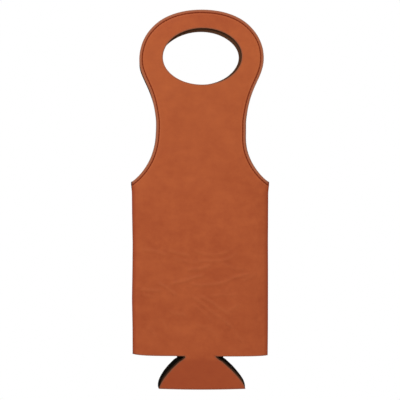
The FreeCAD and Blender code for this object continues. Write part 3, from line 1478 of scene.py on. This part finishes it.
        # painted shade: the leatherette of the base is darker
        low = self.pattern.bottom - self.tone_reach
        tone = self.base_tone * (1 - smooth(cut.points[:, 1], low, self.pattern.bottom))
        if layer is Layer.LINING:
            tone = 1 - smooth(cut.hole, *self.hole_fade)
            if face is Face.FRONT:
                tone = np.maximum(tone, smooth(cut.raw, 0, self.foam_glow) * cut.on_base)
        marks = {
            Mark.SEWN: cut.sewn / MM,
            Mark.RAW: np.min([cut.hole, cut.raw, cut.foot], axis=0) / MM,
            Mark.SIDE: cut.side / MM,
            Mark.CREST: self.drape.wrinkled(cut.points, face) / MM,
            Mark.TONE: tone,
        }
        for mark, values in marks.items():
            values = np.tile(values[used], 2).astype(np.float32)
            mesh.attributes.new(mark.value, "FLOAT", "POINT").data.foreach_set("value", values)


@dataclass(frozen=True)
class Stitch:
    """Spacing and size of the stitches of a row."""

    pitch: float
    length: float
    width: float
    height: float


@dataclass
class StitchRow:
    """Geometry Nodes that set single stitches along a line, each a little different in size."""

    segments: int = 8
    rings: int = 6
    least: Triple = (0.92, 0.9, 0.9)
    most: Triple = (1.06, 1.1, 1.1)
    seed: int = 7

    def __post_init__(self) -> None:
        """Build the node tree once."""
        self.tree = bpy.data.node_groups.new("stitch_row", "GeometryNodeTree")
        kinds = {"Geometry": "NodeSocketGeometry"}
        kinds |= {field.name.capitalize(): "NodeSocketFloat" for field in fields(Stitch)}
        kinds |= {"Out": "NodeSocketVector", "Seed": "NodeSocketInt", "Thread": "NodeSocketMaterial"}
        new_socket = self.tree.interface.new_socket
        self.sockets = {
            name: new_socket(name, in_out="INPUT", socket_type=kind).identifier
            for name, kind in kinds.items()
        }
        new_socket("Geometry", in_out="OUTPUT", socket_type="NodeSocketGeometry")
        self.wire()

    def add(self, kind: str, inputs: Inputs | None = None, **settings: str | bool) -> bpy.types.Node:
        """Add a node of a kind, which is its full type."""
        return add_node(self.tree, kind, inputs, **settings)

    def wire(self) -> None:
        """Connect the tree: points along the line, one turned stitch on each, realized and dressed."""
        given = self.add("NodeGroupInput").outputs
        spaced = {"Curve": given["Geometry"], "Length": given["Pitch"]}
        line = self.add("GeometryNodeResampleCurve", spaced, mode="LENGTH")
        size = self.add("ShaderNodeCombineXYZ", {0: given["Length"], 1: given["Width"], 2: given["Height"]})
        unit = {"Segments": self.segments, "Rings": self.rings, "Radius": 0.5}
        ball = self.add("GeometryNodeMeshUVSphere", unit)
        stitch = self.add("GeometryNodeTransform", {"Geometry": ball.outputs[0], "Scale": size.outputs[0]})
        tangent = self.add("GeometryNodeInputTangent").outputs[0]
        along = self.add("FunctionNodeAlignRotationToVector", {"Vector": tangent}, axis="X")
        upright = {"Rotation": along.outputs[0], "Vector": given["Out"]}
        turned = self.add("FunctionNodeAlignRotationToVector", upright, axis="Z", pivot_axis="X")
        limits = {"Min": self.least, "Max": self.most, "Seed": given["Seed"]}
        spread = self.add("FunctionNodeRandomValue", limits, data_type="FLOAT_VECTOR")
        placed = {
            "Points": line.outputs[0],
            "Instance": stitch.outputs[0],
            "Rotation": turned.outputs[0],
            "Scale": spread.outputs[0],
        }
        row = self.add("GeometryNodeInstanceOnPoints", placed)
        real = self.add("GeometryNodeRealizeInstances", {"Geometry": row.outputs[0]})
        soft = self.add("GeometryNodeSetShadeSmooth", {"Geometry": real.outputs[0]})
        dressed = {"Geometry": soft.outputs[0], "Material": given["Thread"]}
        self.add("NodeGroupOutput", {"Geometry": self.add("GeometryNodeSetMaterial", dressed).outputs[0]})

    def sew(
        self, name: str, path: np.ndarray, stitch: Stitch, out: Triple, thread: bpy.types.Material
    ) -> bpy.types.Object:
        """Set a row of stitches along a path.

        Args:
            name: Name of the piece.
            path: Points (x, y, z) of the path.
            stitch: Spacing and size of the stitches.
            out: Direction away from what is sewn.
            thread: Material of the thread.

        Returns:
            The stitches as one plain mesh.
        """
        curve = bpy.data.curves.new(name + "_path", "CURVE")
        curve.dimensions = "3D"
        spline = curve.splines.new("POLY")
        spline.points.add(len(path) - 1)
        spline.points.foreach_set("co", np.column_stack([path, np.ones(len(path))]).ravel())
        guide = add_object(name + "_path", curve)
        modifier = guide.modifiers.new("stitches", "NODES")
        modifier.node_group = self.tree
        values = {size.capitalize(): value for size, value in asdict(stitch).items()}
        values |= {"Out": out, "Seed": self.seed, "Thread": thread}
        for key, value in values.items():
            modifier[self.sockets[key]] = value
        graph = bpy.context.evaluated_depsgraph_get()
        mesh = bpy.data.meshes.new_from_object(guide.evaluated_get(graph), depsgraph=graph)
        mesh.name = name
        bpy.data.objects.remove(guide)
        bpy.data.curves.remove(curve)
        piece = add_object(name, mesh)
        return piece


@dataclass
class FaceAssembly:
    """One face: handle loop, panel, two side strips and their top-stitching."""

    face: Face
    tailor: Tailor
    stitcher: StitchRow
    top_stitch: Stitch = Stitch(pitch=3.3 * MM, length=2.8 * MM, width=0.78 * MM, height=0.55 * MM)

    def body(self, zone: Zone) -> str:
        """Name of the CAD body of a zone of this face."""
        return f"{self.face.label}_{zone.value}"

    def zones(self, cut: FlatCut) -> dict[Zone, np.ndarray]:
        """Share the triangles of a face out among its zones.

        Args:
            cut: The flat cut of the face.

        Returns:
            For each zone, which triangles it takes.
        """
        p = self.tailor.pattern
        x, z = cut.centres.T
        handle = z > p.handle_cut
        outside = np.abs(x) > p.fold_x(z, -p.fold_reach)
        return {
            Zone.HANDLE: handle,
            Zone.PANEL: ~handle & ~outside,
            Zone.LEFT_SIDE: ~handle & outside & (x < 0),
            Zone.RIGHT_SIDE: ~handle & outside & (x > 0),
        }

    def build(self, cut: FlatCut) -> list[bpy.types.Object]:
        """Make the face's pieces, of which those of the panel hang on its body.

        Args:
            cut: The flat cut of the face.

        Returns:
            The pieces.
        """
        made = []
        for zone, chosen in self.zones(cut).items():
            for layer in Layer:
                name = f"{self.body(zone)}_{layer.value}"
                piece = self.tailor.sew(name + "_sheet", cut, chosen, self.face, layer)
                self.hang(piece, zone)
                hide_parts(name)
                made.append(piece)
        return made + self.stitch()

    def hang(self, piece: bpy.types.Object, zone: Zone) -> None:
        """Hang a panel piece on the panel's body; a piece of another zone only has its transform baked.

        Args:
            piece: The piece.
            zone: Its zone.
        """
        panel = self.body(Zone.PANEL)
        if zone is Zone.PANEL:
            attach(piece, panel)
        elif zone is Zone.HANDLE:
            self.body(zone)
            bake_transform(piece)
        else:
            self.body(zone)
            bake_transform(piece)

    def stitch(self) -> list[bpy.types.Object]:
        """Sew the rows of top-stitching of this face.

        Returns:
            The rows.
        """
        tailor, p, laminate = self.tailor, self.tailor.pattern, self.tailor.laminate
        flat = p.free_edge(laminate.stitch_inset)
        x, z = flat.T
        on_handle = z > p.handle_cut
        off_seam = ~on_handle & (np.abs(x) < p.body_half - self.top_stitch.length / 2)
        rows = {
            Zone.HANDLE: on_handle,
            Zone.LEFT_SIDE: off_seam & (x < 0),
            Zone.RIGHT_SIDE: off_seam & (x > 0),
        }
        sides = [p.sewn_side(side, p.tip) for side in Side]
        out = (0.0, float(self.face.value), 0.0)
        made = []
        for zone, chosen in rows.items():
            line = flat[chosen]
            plan, lift = tailor.place(line, self.face)
            depth = laminate.outer - laminate.groove_depth + lift - laminate.side_drop(nearest(line, sides))
            path = stand(plan, self.face.value * depth)
            node = f"{self.body(zone)}_topstitch"
            piece = self.stitcher.sew(node + "_row", path, self.top_stitch, out, tailor.finishes.thread)
            self.hang(piece, zone)
            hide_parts(node)
            if zone is Zone.HANDLE:
                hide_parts(f"{self.body(Zone.PANEL)}_topstitch")
            made.append(piece)
        return made


@dataclass
class BaseAssembly:
    """One half of the folded base."""

    face: Face
    tailor: Tailor

    def build(self, cut: FlatCut) -> list[bpy.types.Object]:
        """Make the two layers of the half.

        Args:
            cut: The flat cut of the half.

        Returns:
            The pieces.
        """
        everything = np.ones(len(cut.triangles), bool)
        made = []
        for layer in Layer:
            node = f"base_{self.face.label}_{layer.value}"
            piece = self.tailor.sew(node + "_sheet", cut, everything, self.face, layer)
            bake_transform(piece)
            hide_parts(node)
            made.append(piece)
        return made


@dataclass
class SideSeam:
    """Thread of one side seam and the tack that locks its upper end."""

    side: Side
    tailor: Tailor
    stitcher: StitchRow
    inset: float = 0.75 * MM
    seam: Stitch = Stitch(pitch=3.0 * MM, length=3.2 * MM, width=1.0 * MM, height=1.0 * MM)
    tack: Stitch = Stitch(pitch=0.62 * MM, length=0.7 * MM, width=2.5 * MM, height=1.4 * MM)
    tack_length: float = 4.5 * MM

    def path(self, low: float, high: float) -> np.ndarray:
        """Draped line of the seam between two heights.

        Args:
            low: Lower end.
            high: Upper end.

        Returns:
            Points (x, y, z).
        """
        p = self.tailor.pattern
        x = self.side.value * (p.body_half - self.inset)
        plan, _ = self.tailor.place(run((x, low), (x, high), p.step), Face.FRONT)
        return stand(plan, np.zeros(len(plan)))

    def build(self) -> list[bpy.types.Object]:
        """Make the seam and its tack.

        Returns:
            The two rows of stitches.
        """
        p = self.tailor.pattern
        tack_foot = p.tip - self.tack_length
        body = f"back_{self.side.label}_side"
        out = (float(self.side.value), 0.0, 0.0)
        thread = self.tailor.finishes.thread
        made = []
        for node, low, high, stitch in (
            ("side_seam", p.bottom + self.seam.length / 2, tack_foot, self.seam),
            ("shoulder_tack", tack_foot, p.tip - self.tack.length, self.tack),
        ):
            name = f"{self.side.label}_{node}"
            piece = self.stitcher.sew(name + "_row", self.path(low, high), stitch, out, thread)
            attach(piece, body)
            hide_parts(name)
            made.append(piece)
        return made


@dataclass
class SeamTape:
    """Folded tape that closes the hinged side seam from within, so that no light shows when it opens."""

    side: Side
    tailor: Tailor
    inset: float = 1.35 * MM
    reach: float = 5.2 * MM
    spread: float = 0.24 * MM
    thickness: float = 0.12 * MM
    foot_gap: float = 1.0 * MM
    tip_gap: float = 4.0 * MM
    bend_points: int = 13

    def section(self) -> np.ndarray:
        """Closed outline of the folded tape.

        Returns:
            Its points, as distances from the side edge and from the middle plane.
        """
        turn = np.linspace(math.pi / 2, -math.pi / 2, self.bend_points)
        middle, end = self.inset + self.spread, self.inset + self.reach
        outlines = []
        for radius in (self.spread, self.spread - self.thickness):
            bend = np.stack([middle - radius * np.cos(turn), radius * np.sin(turn)], axis=1)
            outlines.append(np.vstack([(end, radius), bend, (end, -radius)]))
        return np.concatenate([outlines[0], outlines[1][::-1]])

    def build(self) -> list[bpy.types.Object]:
        """Make the tape along the seam.

        Returns:
            The tape.
        """
        p, way = self.tailor.pattern, self.side.value
        edge = way * p.body_half
        flat = run((edge, p.bottom + self.foot_gap), (edge, p.tip - self.tip_gap), p.step)
        plan, _ = self.tailor.place(flat, Face.FRONT)
        away, depth = self.section().T
        count = len(away)
        rings = [np.stack([x - way * away, depth, np.full(count, z)], axis=1) for x, z in plan]
        last = (len(rings) - 1) * count
        faces = [list(range(count)), [last + i for i in reversed(range(count))]]
        for low in range(0, last, count):
            high = low + count
            for i in range(count):
                j = (i + 1) % count
                faces.append([low + j, low + i, high + i, high + j])
        if way > 0:
            faces = [face[::-1] for face in faces]
        name = f"{self.side.label}_seam_tape"
        mesh = bpy.data.meshes.new(name)
        mesh.from_pydata(np.concatenate(rings).tolist(), [], faces)
        mesh.materials.append(self.tailor.finishes.foam)
        piece = add_object(name, mesh)
        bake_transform(piece)
        return [piece]


@dataclass(frozen=True)
class Lamp:
    """A round soft lamp: its name, place, size and power."""

    name: str
    place: Triple
    size: float
    power: float


@dataclass(frozen=True)
class Studio:
    """Floor, light and camera."""

    picture_span: float = 0.4
    picture_x: float = 0.05 * MM
    picture_level: float = -171.5 * MM
    camera_distance: float = 1.2
    sensor: float = 36.0
    ambient: float = 0.46
    floor_level: float = -0.45
    floor_radius: float = 0.42
    floor_points: int = 96
    floor_colour: Colour = (0.92, 0.92, 0.92, 1.0)
    floor_fade: Pair = (0.45, 0.98)
    lamps: tuple[Lamp, ...] = (
        Lamp("key_light", (-0.34, -0.80, 0.42), 0.6, 5.5),
        Lamp("fill_light", (0.7, -0.9, 0.05), 0.8, 1.3),
        Lamp("back_light", (0.2, 0.9, 0.5), 0.8, 4.0),
    )

    def build(self) -> None:
        """Set up the whole studio."""
        self.camera()
        self.light()
        self.world()
        self.floor()
        bpy.context.scene.view_settings.view_transform = "Standard"

    def camera(self) -> None:
        """Look at the front squarely, with the picture's span at the carrier."""
        data = bpy.data.cameras.new("camera")
        data.sensor_width = self.sensor
        data.lens = self.sensor * self.camera_distance / self.picture_span
        eye = add_object("camera", data)
        eye.location = (self.picture_x, -self.camera_distance, self.picture_level)
        eye.rotation_euler = (math.radians(90), 0, 0)
        bpy.context.scene.camera = eye

    def light(self) -> None:
        """Hang the soft lamps."""
        for lamp in self.lamps:
            data = bpy.data.lights.new(lamp.name, "AREA")
            data.shape = "DISK"
            data.size = lamp.size
            data.energy = lamp.power
            hung = add_object(lamp.name, data)
            hung.location = lamp.place
            aim = Vector((0, 0, self.picture_level)) - Vector(lamp.place)
            hung.rotation_euler = aim.to_track_quat("-Z", "Y").to_euler()

    def world(self) -> None:
        """White to the eye and in reflections, softer as light."""
        g = Graph(bpy.data.worlds.new("studio"))
        ray = g.add("LightPath").outputs
        seen = ray["Is Camera Ray"]
        for kind in ("Is Glossy Ray", "Is Transmission Ray"):
            seen = g.math("MAXIMUM", seen, ray[kind])
        soft = g.add("Background", {"Color": WHITE, "Strength": self.ambient})
        white = g.add("Background", {"Color": WHITE})
        mixed = g.add("MixShader", {0: seen, 1: soft.outputs[0], 2: white.outputs[0]})
        bpy.context.scene.world = g.finish(mixed, "OutputWorld")

    def floor(self) -> None:
        """A pale round floor below the hanging carrier, fading into the white around it."""
        turn = np.linspace(0, 2 * math.pi, self.floor_points, endpoint=False)
        ring = np.stack([np.cos(turn), np.sin(turn)], axis=1) * self.floor_radius
        corners = [(x, y, self.floor_level) for x, y in ring]
        mesh = bpy.data.meshes.new("floor")
        mesh.from_pydata(corners, [], [list(range(len(corners)))])
        g = Graph(bpy.data.materials.new("floor"))
        place = g.add("TexCoord").outputs["Object"]
        level = g.add("VectorMath", {0: place, 1: (1, 1, 0)}, operation="MULTIPLY").outputs[0]
        away = g.add("VectorMath", {0: level}, operation="LENGTH").outputs["Value"]
        fade = g.ramp(away, Ramp(*(share * self.floor_radius for share in self.floor_fade)))
        share = g.math("MULTIPLY", fade, g.add("LightPath").outputs["Is Camera Ray"])
        pale = g.add("BsdfDiffuse", {"Color": self.floor_colour})
        white = g.add("Emission", {"Color": WHITE, "Strength": 1.0})
        mixed = g.add("MixShader", {0: share, 1: pale.outputs[0], 2: white.outputs[0]})
        mesh.materials.append(g.finish(mixed))
        add_object("floor", mesh)


def main() -> None:
    """Build every part of the carrier and the studio."""
    logging.basicConfig(level=logging.INFO, format="%(name)s: %(message)s")
    pattern = Pattern.from_frame()
    tailor = Tailor(pattern, Laminate.from_frame(), Drape(), Finishes.build())
    stitcher = StitchRow()
    cutter = Cutter(pattern)
    face_cut = cutter.face()
    made = []
    for face in Face:
        made += FaceAssembly(face, tailor, stitcher).build(face_cut)
        made += BaseAssembly(face, tailor).build(cutter.base(face))
    for side in Side:
        made += SideSeam(side, tailor, stitcher).build()
    made += SeamTape(Side.LEFT, tailor).build()
    for piece in made:
        log.info("%s: %d faces", piece.name, len(piece.data.polygons))
    Studio().build()


if __name__ == "__main__":
    main()
